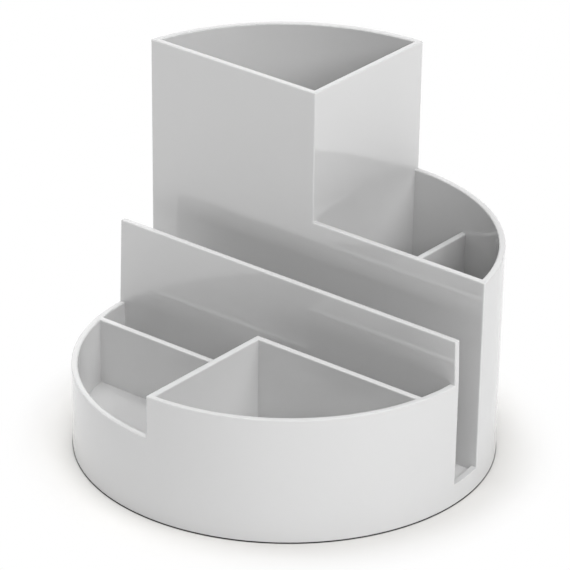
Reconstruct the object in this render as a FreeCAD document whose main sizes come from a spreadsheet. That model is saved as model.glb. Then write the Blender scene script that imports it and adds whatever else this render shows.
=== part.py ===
import FreeCAD, Part
import Sketcher
import math
import os

# Round desk organiser with a letter slot, in millimetres.
# The Z axis is the axis of the round plan, and z = 0 is the desk. The letter slot runs along X,
# and the low trays are in front, towards -Y. One moulding holds all seven wells: an outer wall
# that is a slightly conical shell with a floor in it, whose rim climbs in five steps, and upright
# partitions that run into it. It stands on four round non-slip pads set under the floor.

doc = FreeCAD.newDocument("desk_organiser")

# Driving dimensions: alias, value in millimetres (drafts in degrees), what it is
DIMENSIONS = [
    ("base_radius", 70.5, "outer radius at the lower edge"),
    ("outer_draft", 0.55, "degrees that the outer wall leans out going up"),
    ("seam_turn", 45.0, "degrees about the axis to where the turned wall's surface closes"),
    ("foot_gap", 0.4, "height of the lower edge above the desk"),
    ("cup_height", 121.0, "rim of the tall pen cup, rear left"),
    ("rear_height", 74.8, "rim of the rear right wells"),
    ("panel_height", 60.2, "top of the panel in front of the letter slot"),
    ("front_height", 44.6, "rim of the wedge-shaped tray, front right"),
    ("scoop_height", 29.6, "rim of the low tray, front left"),
    ("floor_top", 6.2, "floor of the wells"),
    ("floor_thickness", 2.2, "the floor, measured down from its top"),
    ("lip_height", 7.8, "lip that the outer wall leaves at the ends of the slot"),
    ("rim_wall", 2.15, "outer wall, measured along a radius"),
    ("slot_back_y", 13.9, "front face of the tall wall behind the slot"),
    ("slot_front_y", 0.35, "rear face of the panel in front of the slot"),
    ("tall_wall", 2.2, "thickness of the wall behind the slot"),
    ("panel_wall", 2.15, "thickness of the panel in front of the slot"),
    ("panel_lean_left", 0.9, "how far the panel's left end leans in at its top"),
    ("panel_lean_right", 0.45, "how far the panel's right end leans in at its top"),
    ("lean_start", 1.0, "height above the rim beside it where a leaning end starts"),
    ("cup_side_x", -0.3, "outer face of the pen cup's side wall"),
    ("cup_wall", 2.0, "thickness of the pen cup's side wall"),
    ("divider_x", 24.0, "middle of the divider between the rear right wells"),
    ("divider_wall", 2.2, "thickness of that divider"),
    ("cross_y", -15.8, "middle of the wall in front of the long narrow well"),
    ("cross_wall", 2.25, "thickness of that wall"),
    ("wedge_x", 1.05, "middle of the wall between the two front trays"),
    ("wedge_wall", 2.25, "thickness of that wall"),
    ("edge_round", 0.45, "rounding of the rims, the partitions' tops and the upright edges"),
    ("foot_circle", 57.0, "radius of the circle that the pads stand on"),
    ("foot_radius", 5.0, "radius of a pad"),
    ("foot_thickness", 2.2, "thickness of a pad"),
    ("seat_radius", 6.5, "outer radius of the boss that a pad is stuck in"),
    ("seat_play", 0.2, "gap between a pad and the rim of its boss"),
    ("seat_rim", 0.6, "height of the rim round a pad"),
]

sheet = doc.addObject("Spreadsheet::Sheet", "Dimensions")
for row, (alias, value, meaning) in enumerate(DIMENSIONS, start=1):
    sheet.set(f"A{row}", alias)
    sheet.set(f"B{row}", str(value))
    sheet.set(f"C{row}", meaning)
    sheet.setAlias(f"B{row}", alias)
doc.recompute()


def dim(alias):
    """The expression that reads one driving dimension."""
    return f"Dimensions.{alias}"


def number(expression):
    """The present value of an expression, for a sketch's first shape."""
    value = sheet.evalExpression(expression)
    return float(getattr(value, "Value", value))


def outer_radius(level):
    """Radius of the outer wall's outside at a level, as an expression."""
    return f"({dim('base_radius')} + ({level} - {dim('foot_gap')}) * tan({dim('outer_draft')}))"


def inner_radius(level):
    """Radius of the outer wall's inside at a level, as an expression."""
    return f"({outer_radius(level)} - {dim('rim_wall')})"


def new_body(name):
    body = doc.addObject("PartDesign::Body", name)
    body.Label = name
    return body


def new_sketch(body, name, role, offset="0"):
    """An empty sketch on one of the body's own origin planes, moved along the plane's normal."""
    sketch = body.newObject("Sketcher::SketchObject", name)
    plane = next(item for item in body.Origin.OriginFeatures if item.Role == role)
    sketch.AttachmentSupport = [(plane, "")]
    sketch.MapMode = "FlatFace"
    sketch.setExpression("AttachmentOffset.Base.z", offset)
    return sketch


def draw_polygon(sketch, corners):
    """A closed outline of straight edges through corners given as pairs of expressions.

    An edge whose ends share an expression is held level or upright, and each corner coordinate
    that no such edge gives yet gets a named dimension bound to its expression."""
    spots = [FreeCAD.Vector(number(x), number(y), 0) for x, y in corners]
    count = len(corners)
    for index in range(count):
        sketch.addGeometry(Part.LineSegment(spots[index], spots[(index + 1) % count]))
    for index in range(count):
        sketch.addConstraint(Sketcher.Constraint("Coincident", index, 2, (index + 1) % count, 1))
    known = set()
    for index in range(count):
        following = (index + 1) % count
        if corners[index][0] == corners[following][0]:
            sketch.addConstraint(Sketcher.Constraint("Vertical", index))
            link_x = (following, "x")
        else:
            link_x = None
        if corners[index][1] == corners[following][1]:
            sketch.addConstraint(Sketcher.Constraint("Horizontal", index))
            link_y = (following, "y")
        else:
            link_y = None
        for axis, kind, link in (("x", "DistanceX", link_x), ("y", "DistanceY", link_y)):
            closes = following == 0 and link is not None
            if (index, axis) not in known and not (closes and (0, axis) in known):
                value = corners[index][0 if axis == "x" else 1]
                bind_distance(sketch, kind, index, 1, value, f"{axis}{index}")
                known.add((index, axis))
            if link is not None:
                known.add(link)


def bind_distance(sketch, kind, geometry, point, expression, name):
    """A point's distance from the sketch's origin along one axis, bound to an expression."""
    value = number(expression)
    item = Sketcher.Constraint(kind, -1, 1, geometry, point, value)
    constraint = sketch.addConstraint(item)
    sketch.renameConstraint(constraint, name)
    sketch.setExpression(f"Constraints.{name}", expression)


def draw_circle(sketch, x, y, radius):
    """A circle whose centre and radius are bound to expressions."""
    centre = FreeCAD.Vector(number(x), number(y), 0)
    normal = FreeCAD.Vector(0, 0, 1)
    sketch.addGeometry(Part.Circle(centre, normal, number(radius)))
    bind_distance(sketch, "DistanceX", 0, 3, x, "centre_x")
    bind_distance(sketch, "DistanceY", 0, 3, y, "centre_y")
    constraint = sketch.addConstraint(Sketcher.Constraint("Radius", 0, number(radius)))
    sketch.renameConstraint(constraint, "radius")
    sketch.setExpression("Constraints.radius", radius)


def solid_volume(body):
    """The body's volume so far, to see what a feature added or took away."""
    return body.Shape.Volume if not body.Shape.isNull() else 0.0


def cut_down(body, name, corners, level):
    """Take away everything above a level inside an outline seen from above."""
    top = f"({dim('cup_height')} + 1)"
    sketch = new_sketch(body, f"{name}_outline", "XY_Plane", top)
    draw_polygon(sketch, corners)
    before = solid_volume(body)
    pocket = body.newObject("PartDesign::Pocket", name)
    pocket.Profile = sketch
    pocket.setExpression("Length", f"{top} - {level}")
    doc.recompute()
    print(f"{name}: {solid_volume(body) - before:.0f} mm3")
    return pocket


def add_partition(body, name, plane, corners, position, thickness):
    """An upright wall from an outline seen square on.

    On the XZ plane the wall is thick along Y and its rear face is at the position; on the YZ
    plane it is thick along X and its right face is at the position. Both planes' pads grow
    towards the low end of the axis from there."""
    along_x = plane == "YZ_Plane"
    offset = position if along_x else f"-({position})"
    sketch = new_sketch(body, f"{name}_outline", plane, offset)
    draw_polygon(sketch, corners)
    before = solid_volume(body)
    pad = body.newObject("PartDesign::Pad", name)
    pad.Profile = sketch
    pad.setExpression("Length", thickness)
    pad.Reversed = along_x
    doc.recompute()
    print(f"{name}: {solid_volume(body) - before:.0f} mm3")
    return pad


def build_shell(body):
    """The outer wall, the floor and the hollow under it, turned as one profile.

    The profile is turned away from the partitions' ends first, because the turned surfaces close
    in a line where it stands, and an edge is rounded more surely where no such line crosses it."""
    rim = dim("cup_height")
    floor = dim("floor_top")
    under = f"({floor} - {dim('floor_thickness')})"
    skirt = f"({dim('base_radius')} - {dim('rim_wall')})"
    gap = dim("foot_gap")
    profile = [
        ("0", under),
        (skirt, under),
        (skirt, gap),
        (dim("base_radius"), gap),
        (outer_radius(rim), rim),
        (inner_radius(rim), rim),
        (inner_radius(floor), floor),
        ("0", floor),
    ]
    sketch = new_sketch(body, "shell_profile", "XZ_Plane")
    turn = FreeCAD.Rotation(FreeCAD.Vector(0, 1, 0), number(dim("seam_turn")))
    sketch.AttachmentOffset = FreeCAD.Placement(FreeCAD.Vector(0, 0, 0), turn)
    sketch.setExpression("AttachmentOffset.Rotation.Angle", dim("seam_turn"))
    draw_polygon(sketch, profile)
    shell = body.newObject("PartDesign::Revolution", "shell")
    shell.Profile = sketch
    shell.ReferenceAxis = (sketch, ["V_Axis"])
    shell.Angle = 360
    doc.recompute()
    print(f"shell: {solid_volume(body):.0f} mm3")


def build_rim_steps(body):
    """Lower the outer wall in steps, so that only the pen cup keeps its full height."""
    reach = f"({dim('base_radius')} + 20)"
    low = f"(-{reach})"
    back = dim("slot_back_y")
    front = dim("slot_front_y")
    side = dim("cup_side_x")
    panel_face = f"({front} - {dim('panel_wall')})"
    scoop_side = f"({dim('wedge_x')} - {dim('wedge_wall')} / 2)"
    beside_cup = [(low, low), (reach, low), (reach, reach), (side, reach), (side, back), (low, back)]
    before_tall_wall = [(low, low), (reach, low), (reach, back), (low, back)]
    before_panel = [(low, low), (reach, low), (reach, panel_face), (low, panel_face)]
    left_of_wedge = [(low, low), (scoop_side, low), (scoop_side, panel_face), (low, panel_face)]
    slot_mouths = [(low, front), (reach, front), (reach, back), (low, back)]
    cut_down(body, "step_to_rear_rim", beside_cup, dim("rear_height"))
    cut_down(body, "step_to_panel", before_tall_wall, dim("panel_height"))
    cut_down(body, "step_to_front_rim", before_panel, dim("front_height"))
    cut_down(body, "step_to_scoop_rim", left_of_wedge, dim("scoop_height"))
    cut_down(body, "slot_mouths", slot_mouths, dim("lip_height"))


def build_partitions(body):
    """The upright walls inside. Each ends within the outer wall's thickness, at every height."""
    floor = f"({dim('floor_top')} - {dim('floor_thickness')} / 2)"
    reach = f"({dim('base_radius')} - {dim('rim_wall')} / 10)"
    rear = dim("slot_back_y")
    tall_rear = f"({rear} + {dim('tall_wall')})"
    panel_rear = dim("slot_front_y")
    cross_rear = f"({dim('cross_y')} + {dim('cross_wall')} / 2)"
    cross_front = f"({dim('cross_y')} - {dim('cross_wall')} / 2)"
    scoop_side = f"({dim('wedge_x')} - {dim('wedge_wall')} / 2)"
    wedge_side = f"({dim('wedge_x')} + {dim('wedge_wall')} / 2)"
    cup_side = dim("cup_side_x")
    divider_side = f"({dim('divider_x')} + {dim('divider_wall')} / 2)"

    def half_chord(offset):
        """Half the width of the round plan at a distance from its axis."""
        return f"sqrt({reach} * {reach} - {offset} * {offset})"

    tall = half_chord(tall_rear)
    cup = dim("cup_height")
    rear_rim = dim("rear_height")
    tall_outline = [
        (f"(-{tall})", floor),
        (tall, floor),
        (tall, rear_rim),
        (cup_side, rear_rim),
        (cup_side, cup),
        (f"(-{tall})", cup),
    ]
    add_partition(body, "tall_wall_pad", "XZ_Plane", tall_outline, tall_rear, dim("tall_wall"))

    cup_end = half_chord(f"({cup_side} - {dim('cup_wall')})")
    cup_outline = [(rear, floor), (cup_end, floor), (cup_end, cup), (rear, cup)]
    add_partition(body, "cup_side_pad", "YZ_Plane", cup_outline, cup_side, dim("cup_wall"))

    end = half_chord(divider_side)
    top = dim("panel_height")
    divider_outline = [(rear, floor), (end, floor), (end, top), (rear, top)]
    add_partition(
        body, "rear_divider_pad", "YZ_Plane", divider_outline, divider_side, dim("divider_wall")
    )

    side = half_chord(f"({panel_rear} - {dim('panel_wall')})")
    panel_outline = [(f"(-{side})", floor), (side, floor), (side, top), (f"(-{side})", top)]
    add_partition(body, "panel_pad", "XZ_Plane", panel_outline, panel_rear, dim("panel_wall"))

    side = half_chord(cross_front)
    front_rim = dim("front_height")
    scoop_rim = dim("scoop_height")
    cross_outline = [
        (f"(-{side})", floor),
        (side, floor),
        (side, front_rim),
        (scoop_side, front_rim),
        (scoop_side, scoop_rim),
        (f"(-{side})", scoop_rim),
    ]
    add_partition(body, "cross_wall_pad", "XZ_Plane", cross_outline, cross_rear, dim("cross_wall"))

    end = f"(-{half_chord(wedge_side)})"
    wedge_outline = [(end, floor), (cross_front, floor), (cross_front, front_rim), (end, front_rim)]
    add_partition(body, "wedge_wall_pad", "YZ_Plane", wedge_outline, wedge_side, dim("wedge_wall"))


def lean_panel_end(body, name, side, rim, lean):
    """Trim one end of the panel to a plane that leans in from just above the rim beside it."""
    start = f"({rim} + {dim('lean_start')})"
    top = dim("panel_height")
    above = f"({top} + 1)"
    beyond = f"({dim('base_radius')} + 10)"
    inset_top = f"({outer_radius(top)} - {lean})"
    slope = f"(({inset_top} - {outer_radius(start)}) / ({top} - {start}))"
    corners = [
        (f"({side} * {outer_radius(start)})", start),
        (f"({side} * {beyond})", start),
        (f"({side} * {beyond})", above),
        (f"({side} * ({inset_top} + {slope}))", above),
    ]
    margin = 3
    sketch = new_sketch(body, f"{name}_outline", "XZ_Plane", f"({dim('panel_wall')} + {margin})")
    draw_polygon(sketch, corners)
    before = solid_volume(body)
    pocket = body.newObject("PartDesign::Pocket", name)
    pocket.Profile = sketch
    pocket.setExpression("Length", f"{dim('panel_wall')} + 2 * {margin}")
    doc.recompute()
    print(f"{name}: {solid_volume(body) - before:.1f} mm3")


def turn_about_axis(body, name, feature):
    """Repeat a feature four times about the round plan's axis."""
    axis = next(item for item in body.Origin.OriginFeatures if item.Role == "Z_Axis")
    pattern = body.newObject("PartDesign::PolarPattern", name)
    pattern.Originals = [feature]
    pattern.Axis = (axis, [""])
    pattern.Angle = 360
    pattern.Occurrences = 4
    body.Tip = pattern
    doc.recompute()
    return pattern


def build_foot_seats(body):
    """Four bosses under the floor, and in each the recess that a pad is stuck in."""
    spot = f"({dim('foot_circle')} * cos(45))"
    under = f"({dim('floor_top')} - {dim('floor_thickness')})"
    lowest = f"({dim('foot_thickness')} - {dim('seat_rim')})"
    before = solid_volume(body)

    outline = new_sketch(body, "foot_boss_outline", "XY_Plane", lowest)
    draw_circle(outline, spot, spot, dim("seat_radius"))
    boss = body.newObject("PartDesign::Pad", "foot_boss")
    boss.Profile = outline
    boss.setExpression("Length", f"{under} - {lowest}")
    doc.recompute()
    turn_about_axis(body, "foot_bosses", boss)

    recess = new_sketch(body, "foot_recess_outline", "XY_Plane", dim("foot_thickness"))
    draw_circle(recess, spot, spot, f"({dim('foot_radius')} + {dim('seat_play')})")
    pocket = body.newObject("PartDesign::Pocket", "foot_recess")
    pocket.Profile = recess
    pocket.setExpression("Length", dim("foot_thickness"))
    doc.recompute()
    turn_about_axis(body, "foot_recesses", pocket)
    print(f"foot seats: {solid_volume(body) - before:.0f} mm3")


def is_ridge(shape, edge):
    """Whether two faces meet at the edge in an outward corner.

    A step from the edge's middle along the difference of the two faces' normals stays in the
    plastic at an inward corner and leaves it at an outward one."""
    faces = shape.ancestorsOfType(edge, Part.Face)
    if len(faces) != 2:
        return False
    first, last = edge.ParameterRange
    spot = edge.valueAt((first + last) / 2)
    one, other = [face.normalAt(*face.Surface.parameter(spot)) for face in faces]
    apart = one - other
    step = 0.03
    return apart.Length > 0.4 and not shape.isInside(spot + apart * step, 1e-6, False)


def round_ridges(body):
    """Round every outward edge above the slot's lip: the rims, the partitions' tops, the uprights.

    One feature takes them all, because a corner that several ridges share comes out clean only
    when they are rounded together. Inward corners are left plain, as they look in the photo."""
    base = body.Tip
    shape = base.Shape
    lip = number(dim("lip_height"))
    names = [
        f"Edge{index}"
        for index, edge in enumerate(shape.Edges, start=1)
        if edge.BoundBox.ZMax > lip + 0.1 and is_ridge(shape, edge)
    ]
    before = solid_volume(body)
    rounding = body.newObject("PartDesign::Fillet", "rounded_ridges")
    rounding.Base = (base, names)
    rounding.setExpression("Radius", dim("edge_round"))
    doc.recompute()
    print(f"rounded_ridges: {len(names)} edges, {solid_volume(body) - before:.0f} mm3")


def build_foot(name, angle):
    """One round non-slip pad, turned from its profile."""
    body = new_body(name)
    sketch = new_sketch(body, f"{name}_profile", "XZ_Plane")
    radius = dim("foot_radius")
    top = dim("foot_thickness")
    draw_polygon(sketch, [("0", "0"), (radius, "0"), (radius, top), ("0", top)])
    pad = body.newObject("PartDesign::Revolution", f"{name}_turned")
    pad.Profile = sketch
    pad.ReferenceAxis = (sketch, ["V_Axis"])
    pad.Angle = 360
    circle = number(dim("foot_circle"))
    turn = math.radians(angle)
    body.Placement.Base = FreeCAD.Vector(circle * math.cos(turn), circle * math.sin(turn), 0)
    body.setExpression("Placement.Base.x", f"{dim('foot_circle')} * cos({angle})")
    body.setExpression("Placement.Base.y", f"{dim('foot_circle')} * sin({angle})")
    return body


organiser = new_body("organiser_body")
build_shell(organiser)
build_rim_steps(organiser)
build_partitions(organiser)
lean_panel_end(organiser, "panel_left_end", "-1", dim("scoop_height"), dim("panel_lean_left"))
lean_panel_end(organiser, "panel_right_end", "1", dim("front_height"), dim("panel_lean_right"))
build_foot_seats(organiser)
round_ridges(organiser)

FEET = {
    "foot_rear_right": 45,
    "foot_rear_left": 135,
    "foot_front_left": 225,
    "foot_front_right": 315,
}
feet = [build_foot(name, angle) for name, angle in FEET.items()]

doc.recompute()
for item in doc.Objects:
    if "Invalid" in item.State or "Error" in item.State:
        raise RuntimeError(f"{item.Name} failed: {item.State}")

os.makedirs("parts", exist_ok=True)
for body in [organiser] + feet:
    shape = body.Shape
    if shape.isNull() or not shape.isValid():
        raise RuntimeError(f"{body.Label} has no valid shape")
    shape.exportStep(f"parts/{body.Label}.step")
    box = shape.optimalBoundingBox()
    print(
        f"{body.Label}: {len(shape.Solids)} solid, {shape.Volume:.0f} mm3, "
        f"x {box.XMin:.1f} to {box.XMax:.1f}, y {box.YMin:.1f} to {box.YMax:.1f}, "
        f"z {box.ZMin:.1f} to {box.ZMax:.1f}"
    )
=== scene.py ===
import math

import bpy
from mathutils import Matrix, Vector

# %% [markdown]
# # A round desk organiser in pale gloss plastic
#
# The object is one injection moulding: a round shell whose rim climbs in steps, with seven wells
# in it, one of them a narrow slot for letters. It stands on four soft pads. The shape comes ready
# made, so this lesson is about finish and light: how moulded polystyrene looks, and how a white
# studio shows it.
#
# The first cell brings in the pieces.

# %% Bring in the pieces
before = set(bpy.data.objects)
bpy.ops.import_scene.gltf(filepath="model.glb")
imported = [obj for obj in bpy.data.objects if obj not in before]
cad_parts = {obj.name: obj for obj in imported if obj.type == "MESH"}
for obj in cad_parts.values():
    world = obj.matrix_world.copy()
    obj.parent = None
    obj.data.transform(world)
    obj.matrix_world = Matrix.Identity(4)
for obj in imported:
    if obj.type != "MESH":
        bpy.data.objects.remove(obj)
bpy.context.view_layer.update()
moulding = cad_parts["organiser_body"]
pads = [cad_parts[name] for name in sorted(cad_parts) if name.startswith("foot_")]

# %% [markdown]
# ## Helpers
#
# Colours are written as the hex values that a paint program shows, and one function turns them into
# the linear values that a shader reckons with. A pattern's size is written in millimetres, and one
# more function turns it into the scale of a noise texture on Object coordinates, which are metres.

# %% Colour and size
MM = 0.001


def linear(hex_colour):
    """Linear red, green, blue and alpha of a hex sRGB colour such as "#E4E4E6"."""
    shares = [int(hex_colour[start:start + 2], 16) / 255 for start in (1, 3, 5)]
    decoded = [
        share / 12.92 if share <= 0.04045 else ((share + 0.055) / 1.055) ** 2.4 for share in shares
    ]
    return (*decoded, 1.0)


def per_metre(size_mm):
    """Noise scale whose blotches are about this many millimetres across."""
    return 1 / (size_mm * MM)


# %% [markdown]
# A material is a small tree of nodes. One function adds a node, sets its properties and inputs by
# name, and links the rest, so a finish reads like a recipe. A setting whose name isn't a property
# of the node is one of its inputs, with low lines for the spaces. The sockets of a Mix node are
# called alike for numbers and for colours, so those for colours go by their places.

# %% Nodes
MIX_FIRST, MIX_SECOND, MIX_RESULT = 6, 7, 2


def add_node(tree, kind, links=None, **settings):
    """Add a node, set its properties or inputs, and link inputs from other nodes' outputs."""
    node = tree.nodes.new(kind)
    for name, value in settings.items():
        if hasattr(node, name):
            setattr(node, name, value)
        else:
            node.inputs[name.replace("_", " ")].default_value = value
    for name, source in (links or {}).items():
        tree.links.new(source, node.inputs[name])
    return node


def new_tree(owner):
    """Give a material or world an empty node tree."""
    owner.use_nodes = True
    owner.node_tree.nodes.clear()
    return owner.node_tree


def give_finish(piece, finish):
    """Put one finish on a whole piece."""
    piece.data.materials.clear()
    piece.data.materials.append(finish)


# %% [markdown]
# ## Moulded polystyrene
#
# The real moulding is polystyrene with a white pigment, pressed against polished steel. The steel
# gives it a gloss that mirrors the next wall, so the roughness is low. The IOR starts at that of
# polystyrene, 1.6, and is raised to 1.85, where the mirrored edges are as strong as the real ones.
# A clear coat over a dull base could be used too, but the plastic has no coat. Four small things
# keep it from looking like paint on glass:
#
# - It cools unevenly, which leaves waves about 14 mm long and only microns high. They bend the
#   mirrored edges a little.
# - The pigment flows in with the melt, which leaves clouds that differ by less than one step in
#   100.
# - Handling rubs it, in patches of a few millimetres, and pens and letters leave upright hairlines.
#   Both only change how sharp a reflection is. A real hairline is some 0.02 mm wide, far less than
#   the picture's pixel of 0.33 mm, so it is drawn 0.5 mm wide to show at all.
# - Where two walls meet, the steel has a small radius. The Bevel node turns the normal there, as
#   that radius does, without changing the shape.

# %% Waves, clouds and rubbing
BODY_COLOUR, CLOUD_COLOUR = "#D1D1D1", "#CFCFCF"
BODY_IOR = 1.85
WEAR_RANGE = (0.15, 0.40)  # the product of the two wear noises, least and most
ROUGHNESS_RANGE = (0.02, 0.06)  # what that wear gives
WAVE_LENGTH_MM, WAVE_HEIGHT_MM = 14, 0.010
CLOUD_MM, RUB_MM, HAIRLINE_MM = 30, 2.5, 0.5
HAIRLINE_STRETCH = 30
CORNER_RADIUS_MM, CORNER_SAMPLES = 0.4, 6


def gloss_polystyrene():
    """Pigmented polystyrene: clouds in its colour, wear in its roughness, waves in its relief.

    The wear is one noise times another, in patches and in upright hairlines.
    """
    finish = bpy.data.materials.new("gloss_polystyrene")
    tree = new_tree(finish)
    place = add_node(tree, "ShaderNodeTexCoord").outputs["Object"]
    clouds = add_node(
        tree, "ShaderNodeTexNoise", {"Vector": place}, Scale=per_metre(CLOUD_MM), Detail=3.0
    )
    colour = add_node(tree, "ShaderNodeMix", data_type="RGBA")
    tree.links.new(clouds.outputs["Fac"], colour.inputs["Factor"])
    colour.inputs[MIX_FIRST].default_value = linear(BODY_COLOUR)
    colour.inputs[MIX_SECOND].default_value = linear(CLOUD_COLOUR)
    rub = add_node(
        tree, "ShaderNodeTexNoise", {"Vector": place}, Scale=per_metre(RUB_MM), Detail=4.0
    )
    # An upright hairline is a noise that is drawn out along z.
    drawn_out = add_node(
        tree, "ShaderNodeMapping", {"Vector": place}, Scale=(1, 1, 1 / HAIRLINE_STRETCH)
    )
    hairlines = add_node(
        tree, "ShaderNodeTexNoise", {"Vector": drawn_out.outputs["Vector"]},
        Scale=per_metre(HAIRLINE_MM), Detail=2.0,
    )
    wear = add_node(
        tree, "ShaderNodeMath", {0: rub.outputs["Fac"], 1: hairlines.outputs["Fac"]},
        operation="MULTIPLY",
    )
    roughness = add_node(
        tree, "ShaderNodeMapRange", {"Value": wear.outputs["Value"]},
        From_Min=WEAR_RANGE[0], From_Max=WEAR_RANGE[1],
        To_Min=ROUGHNESS_RANGE[0], To_Max=ROUGHNESS_RANGE[1],
    )
    waves = add_node(
        tree, "ShaderNodeTexNoise", {"Vector": place}, Scale=per_metre(WAVE_LENGTH_MM), Detail=1.0
    )
    corner = add_node(
        tree, "ShaderNodeBevel", samples=CORNER_SAMPLES, Radius=CORNER_RADIUS_MM * MM
    )
    relief = add_node(
        tree, "ShaderNodeBump",
        {"Height": waves.outputs["Fac"], "Normal": corner.outputs["Normal"]},
        Strength=1.0, Distance=WAVE_HEIGHT_MM * MM,
    )
    shader = add_node(
        tree, "ShaderNodeBsdfPrincipled",
        {"Base Color": colour.outputs[MIX_RESULT], "Roughness": roughness.outputs["Result"],
         "Normal": relief.outputs["Normal"]},
        IOR=BODY_IOR,
    )
    add_node(tree, "ShaderNodeOutputMaterial", {"Surface": shader.outputs["BSDF"]})
    return finish


give_finish(moulding, gloss_polystyrene())
print(f"moulding in {moulding.data.materials[0].name}, IOR {BODY_IOR}, "
      f"waves of {WAVE_LENGTH_MM} mm, corners rounded at {CORNER_RADIUS_MM} mm")

# %% [markdown]
# ## Soft pads
#
# The pads are punched from a sheet of non-slip rubber. Rubber of this kind is dull and a little
# grainy, because it is cast against a matt film, so it has a high roughness and a fine relief. One
# flat dark colour would do while the object stands, but not when it is turned over. The grain is
# drawn at 0.4 mm, coarser than the real one, so that it shows.

# %% Finish of the pads
PAD_COLOUR, PAD_DUST_COLOUR = "#343436", "#4A4A4B"
PAD_ROUGHNESS = 0.75
GRAIN_MM, GRAIN_HEIGHT_MM, GRAIN_STRENGTH = 0.4, 0.03, 0.6
DUST_MM = 3.0


def non_slip_rubber():
    """Dark cast rubber, dull, finely grained and slightly dusty."""
    finish = bpy.data.materials.new("non_slip_rubber")
    tree = new_tree(finish)
    place = add_node(tree, "ShaderNodeTexCoord").outputs["Object"]
    grain = add_node(
        tree, "ShaderNodeTexNoise", {"Vector": place}, Scale=per_metre(GRAIN_MM), Detail=2.0
    )
    dust = add_node(
        tree, "ShaderNodeTexNoise", {"Vector": place}, Scale=per_metre(DUST_MM), Detail=3.0
    )
    colour = add_node(tree, "ShaderNodeMix", data_type="RGBA")
    tree.links.new(dust.outputs["Fac"], colour.inputs["Factor"])
    colour.inputs[MIX_FIRST].default_value = linear(PAD_COLOUR)
    colour.inputs[MIX_SECOND].default_value = linear(PAD_DUST_COLOUR)
    relief = add_node(
        tree, "ShaderNodeBump", {"Height": grain.outputs["Fac"]},
        Strength=GRAIN_STRENGTH, Distance=GRAIN_HEIGHT_MM * MM,
    )
    shader = add_node(
        tree, "ShaderNodeBsdfPrincipled",
        {"Base Color": colour.outputs[MIX_RESULT], "Normal": relief.outputs["Normal"]},
        Roughness=PAD_ROUGHNESS,
    )
    add_node(tree, "ShaderNodeOutputMaterial", {"Surface": shader.outputs["BSDF"]})
    return finish


rubber = non_slip_rubber()
for pad in pads:
    give_finish(pad, rubber)
print(f"{len(pads)} pads in {rubber.name}, grain of {GRAIN_MM} mm")

# %% [markdown]
# ## The sheet that it stands on
#
# In the studio the object stands on white paper that is lit until it burns out, and only the soft
# shadow round the object shows. Burning it out with light would burn out the pale object too. So
# the paper is an ordinary lit surface near the object, where its shadow falls, and turns into a
# plain white of strength 1 further out. Only the camera and reflections see that white: Light Path
# tells them apart from the rays that carry light. What they see near the object is painted shade,
# a little greyer than the paper that lights it, because the real shadow is deeper than six lamps
# leave it.
#
# The pads leave a gap of 0.4 mm under the moulding. That is one pixel high, so its dark line washes
# out. The paper is therefore painted dark under the moulding and up to 0.4 mm past its edge. This
# painted shade makes the line show as strongly as the real one.

# %% The white sheet
PAPER_COLOUR = "#F2F2F2"  # as the paper lights the object
# Painted shade: the paper that the camera sees near the object is greyer than the paper that lights
# it.
SHADED_SEEN_PAPER_COLOUR = "#E4E3E1"  # as the camera sees it
# Painted shade: a dark paper colour under the moulding and just past its edge, out to the reach
# below.
CONTACT_SHADE_COLOUR = "#343434"
PAPER_WHITE = 1.0
CONTACT_SHADE_REACH = (0.0703, 0.0709)  # metres from the middle, where the dark ends
SHADOW_REACH = (0.070, 0.094)  # where grey paper turns into plain white
SHEET_HALF_WIDTH = 3.0


def seen_rays(tree):
    """1 for rays from the camera and for those that a gloss or glass sends on, else 0."""
    path = add_node(tree, "ShaderNodeLightPath")
    total = path.outputs["Is Camera Ray"]
    for name in ("Is Glossy Ray", "Is Transmission Ray"):
        total = add_node(
            tree, "ShaderNodeMath", {0: total, 1: path.outputs[name]}, operation="MAXIMUM"
        ).outputs["Value"]
    return total


def white_paper():
    """White paper: painted dark shade under the moulding's edge, grey paper with painted shade near
    the object, and plain white outside the shadow's reach.
    """
    finish = bpy.data.materials.new("white_paper")
    tree = new_tree(finish)
    place = add_node(tree, "ShaderNodeTexCoord").outputs["Object"]
    distance = add_node(tree, "ShaderNodeVectorMath", {0: place}, operation="LENGTH")
    shares = []
    for reach in (CONTACT_SHADE_REACH, SHADOW_REACH):
        share = add_node(
            tree, "ShaderNodeMapRange", {"Value": distance.outputs["Value"]},
            interpolation_type="SMOOTHSTEP", From_Min=reach[0], From_Max=reach[1],
        )
        shares.append(share.outputs["Result"])
    contact_shade, seen, lit = (
        add_node(tree, "ShaderNodeBsdfDiffuse", Color=linear(colour)).outputs["BSDF"]
        for colour in (CONTACT_SHADE_COLOUR, SHADED_SEEN_PAPER_COLOUR, PAPER_COLOUR)
    )
    white = add_node(tree, "ShaderNodeEmission", Strength=PAPER_WHITE).outputs["Emission"]
    # Going outwards the paper shows painted dark shade, then grey paper with painted shade, then
    # pure white. Light meets the lit paper.
    surface = contact_shade
    for share, outer in zip(shares, (seen, white)):
        mix = add_node(tree, "ShaderNodeMixShader", {0: share, 1: surface, 2: outer})
        surface = mix.outputs["Shader"]
    mix = add_node(tree, "ShaderNodeMixShader", {0: seen_rays(tree), 1: lit, 2: surface})
    add_node(tree, "ShaderNodeOutputMaterial", {"Surface": mix.outputs["Shader"]})
    return finish


def lay_sheet():
    """A level square sheet at z = 0."""
    corners = [(x * SHEET_HALF_WIDTH, y * SHEET_HALF_WIDTH, 0.0)
               for x, y in ((-1, -1), (1, -1), (1, 1), (-1, 1))]
    mesh = bpy.data.meshes.new("floor")
    mesh.from_pydata(corners, [], [(0, 1, 2, 3)])
    sheet = bpy.data.objects.new("floor", mesh)
    bpy.context.scene.collection.objects.link(sheet)
    give_finish(sheet, white_paper())
    print(f"sheet of {sheet.dimensions.x:.1f} by {sheet.dimensions.y:.1f} m, "
          f"pure white from {SHADOW_REACH[1] / MM:.0f} mm outwards")


lay_sheet()

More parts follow.
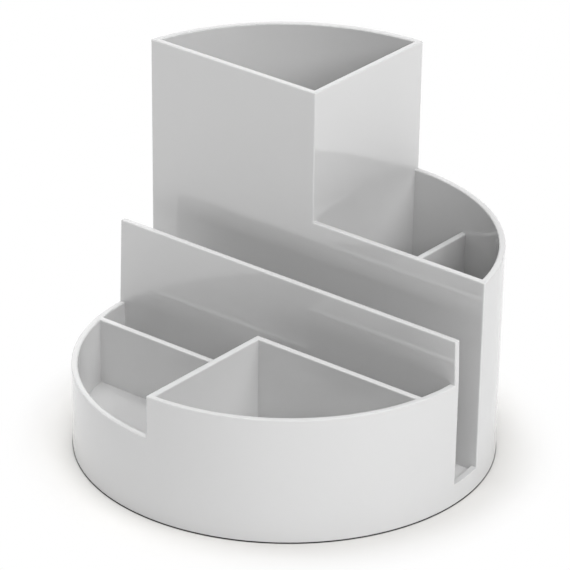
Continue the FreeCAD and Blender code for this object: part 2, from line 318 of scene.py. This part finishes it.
# %% [markdown]
# ## Light
#
# An even white world would be the simplest light, but then all the walls have one tone. In the
# picture each wall has its own, so lamps have to stand where the real ones did.
#
# Six softboxes stand round the object, each a white rectangle 1.5 m away. The strong ones are on
# the right, overhead, on the left and low at the rear left. One at the front right has half their
# strength, and a weak one fills the front. A softbox is placed by its azimuth, counted from the
# front towards the right, and its elevation. Its level is how bright its cloth looks, where 1 is
# paper white.
#
# A softbox that shows in the gloss burns out every rounded rim. Studios hide their lamps from gloss
# behind big white sheets, so here the lamps don't show in reflections, and the gloss mirrors a
# plain white room instead: the world is white wherever the camera or a reflection sees it, and
# gives no light.

# %% Softboxes
SOFTBOX_DISTANCE = 1.5
SOFTBOX_AIM = Vector((0, 0, 0.05))
SOFTBOXES = (
    # name, azimuth, elevation, width, height, level
    ("top", 0, 90, 0.8, 0.8, 4.75),
    ("right", 90, 36, 1.2, 0.75, 4.7),
    ("front_right", 45, 36, 1.2, 0.75, 2.6),
    ("left", 270, 36, 1.2, 0.75, 4.3),
    ("rear_left", 225, 14, 1.2, 0.6, 5.3),
    ("front", 0, 14, 1.2, 0.6, 0.5),
)


def stand_softbox(name, azimuth, elevation, wide, high, level):
    """A rectangle lamp that faces the object. Its power is its level times pi times its area."""
    turn, rise = math.radians(azimuth), math.radians(elevation)
    level_part = math.cos(rise)
    away = Vector((math.sin(turn) * level_part, -math.cos(turn) * level_part, math.sin(rise)))
    light = bpy.data.lights.new(f"softbox_{name}", "AREA")
    light.shape = "RECTANGLE"
    light.size, light.size_y = wide, high
    light.energy = level * math.pi * wide * high
    lamp = bpy.data.objects.new(f"softbox_{name}", light)
    lamp.location = SOFTBOX_AIM + away * SOFTBOX_DISTANCE
    lamp.rotation_euler = away.to_track_quat("Z", "Y").to_euler()
    lamp.visible_camera = lamp.visible_glossy = False
    bpy.context.scene.collection.objects.link(lamp)
    print(f"{lamp.name}: {wide} by {high} m, {light.energy:.2f} W")


for softbox in SOFTBOXES:
    stand_softbox(*softbox)

# %% World
WORLD_LEVEL = 0.0


def white_world():
    """A world that is plain white where it is seen, and gives WORLD_LEVEL as light."""
    world = bpy.data.worlds.new("white_world")
    tree = new_tree(world)
    light = add_node(tree, "ShaderNodeBackground", Color=(1, 1, 1, 1), Strength=WORLD_LEVEL)
    seen = add_node(tree, "ShaderNodeBackground", Color=(1, 1, 1, 1), Strength=PAPER_WHITE)
    mix = add_node(
        tree, "ShaderNodeMixShader",
        {0: seen_rays(tree), 1: light.outputs["Background"], 2: seen.outputs["Background"]},
    )
    add_node(tree, "ShaderNodeOutputWorld", {"Surface": mix.outputs["Shader"]})
    bpy.context.scene.world = world
    print(f"world seen as white of strength {PAPER_WHITE}, as light {WORLD_LEVEL}")


white_world()

# %% [markdown]
# ## Camera
#
# The picture was taken with a long lens from a little over a metre, right of the front and 26
# degrees above it. Its place came from matching rim corners and wall edges. A long lens keeps the
# upright edges nearly parallel.

# %% Camera
VIEW_AZIMUTH, VIEW_ELEVATION, VIEW_ROLL = 38.5591, 26.1379, 0.778
VIEW_DISTANCE = 1.4099
VIEW_TARGET = Vector((-0.00048, -0.00018, 0.05726))
PHOTO_PIXELS, FOCAL_PIXELS = 570, 4301
SENSOR_WIDTH_MM = 36.0
CLIP_START, CLIP_END = 0.05, 20.0


def photo_camera():
    """A long lens at the photograph's place, turned by its small roll."""
    azimuth, elevation, roll = (math.radians(a) for a in (VIEW_AZIMUTH, VIEW_ELEVATION, VIEW_ROLL))
    level_part = math.cos(elevation)
    back = Vector(
        (math.sin(azimuth) * level_part, -math.cos(azimuth) * level_part, math.sin(elevation))
    )
    right = Vector((math.cos(azimuth), math.sin(azimuth), 0.0))
    up = back.cross(right)
    rolled_right = right * math.cos(roll) + up * math.sin(roll)
    rolled_up = up * math.cos(roll) - right * math.sin(roll)
    data = bpy.data.cameras.new("photo_camera")
    data.sensor_width = SENSOR_WIDTH_MM
    data.lens = FOCAL_PIXELS * SENSOR_WIDTH_MM / PHOTO_PIXELS
    data.clip_start, data.clip_end = CLIP_START, CLIP_END
    camera = bpy.data.objects.new("photo_camera", data)
    bpy.context.scene.collection.objects.link(camera)
    turn = Matrix((rolled_right, rolled_up, back)).transposed().to_4x4()
    camera.matrix_world = Matrix.Translation(VIEW_TARGET + back * VIEW_DISTANCE) @ turn
    bpy.context.scene.camera = camera
    print(f"camera {VIEW_DISTANCE} m away, {VIEW_ELEVATION:.1f} degrees up, lens {data.lens:.0f} mm")


photo_camera()

# %% [markdown]
#
# The view transform is Standard, so that a hex colour renders as it is written.

# %% View settings
bpy.context.scene.view_settings.view_transform = "Standard"
